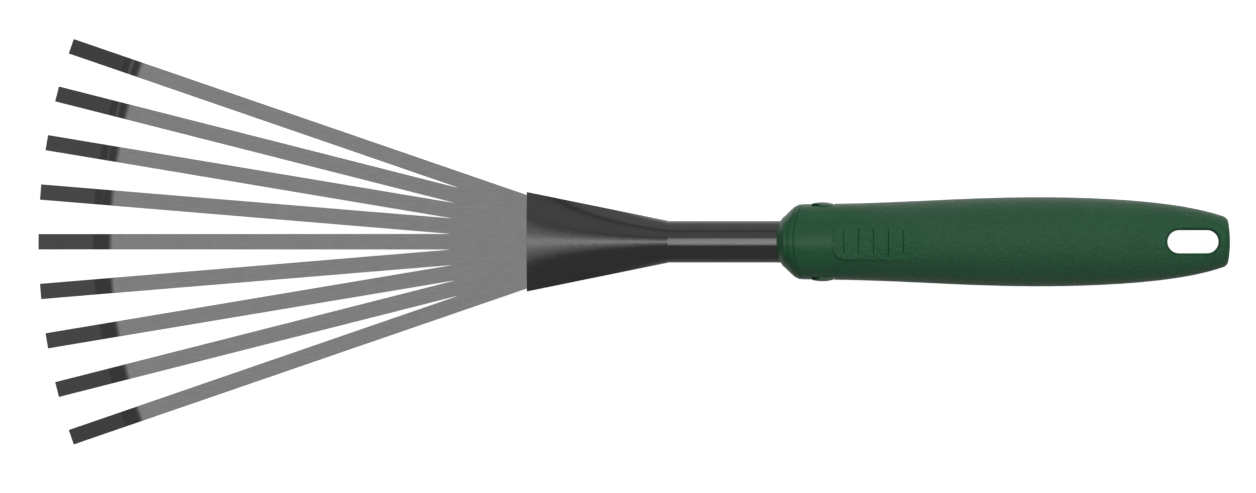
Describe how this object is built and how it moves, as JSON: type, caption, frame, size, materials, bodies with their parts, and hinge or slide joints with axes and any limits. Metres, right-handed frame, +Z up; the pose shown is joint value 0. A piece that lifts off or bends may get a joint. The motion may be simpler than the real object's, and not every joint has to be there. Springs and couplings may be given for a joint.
{
  "type": "hand rake",
  "caption": "Short hand rake: a sprung fan of flat steel tines with bent tips, a conical socket on a tube shank, and a moulded grip with a thumb pad and hang slot.",
  "frame": {"origin": "under the middle of the tool, level with the lowest edge of the tine tips", "axes": "+X along the tool's axis from the tines to the butt, +Z up with the tine tips pointing down, +Y completes the right-handed frame"},
  "size_m": [0.4, 0.1362, 0.0386],
  "materials": {
    "spring_steel": "satin grey hardened sheet",
    "dark_lacquer": "glossy near-black lacquer",
    "plain_steel": "turned",
    "core_plastic": "satin moulded",
    "grip_plastic": "fine moulded grain",
    "collar_plastic": "satin moulded",
    "pad_rubber": "fine grained soft touch"
  },
  "bodies": {
    "root": {"tine_fan": "spring_steel", "socket": "dark_lacquer", "shank_tube": "dark_lacquer", "shank_spigot": "plain_steel", "tang_rivet": "plain_steel", "retaining_pin": "plain_steel", "handle_core": "core_plastic", "grip_shell": "grip_plastic", "nose_collar": "collar_plastic", "thumb_pad": "pad_rubber"}
  },
  "joints": []
}
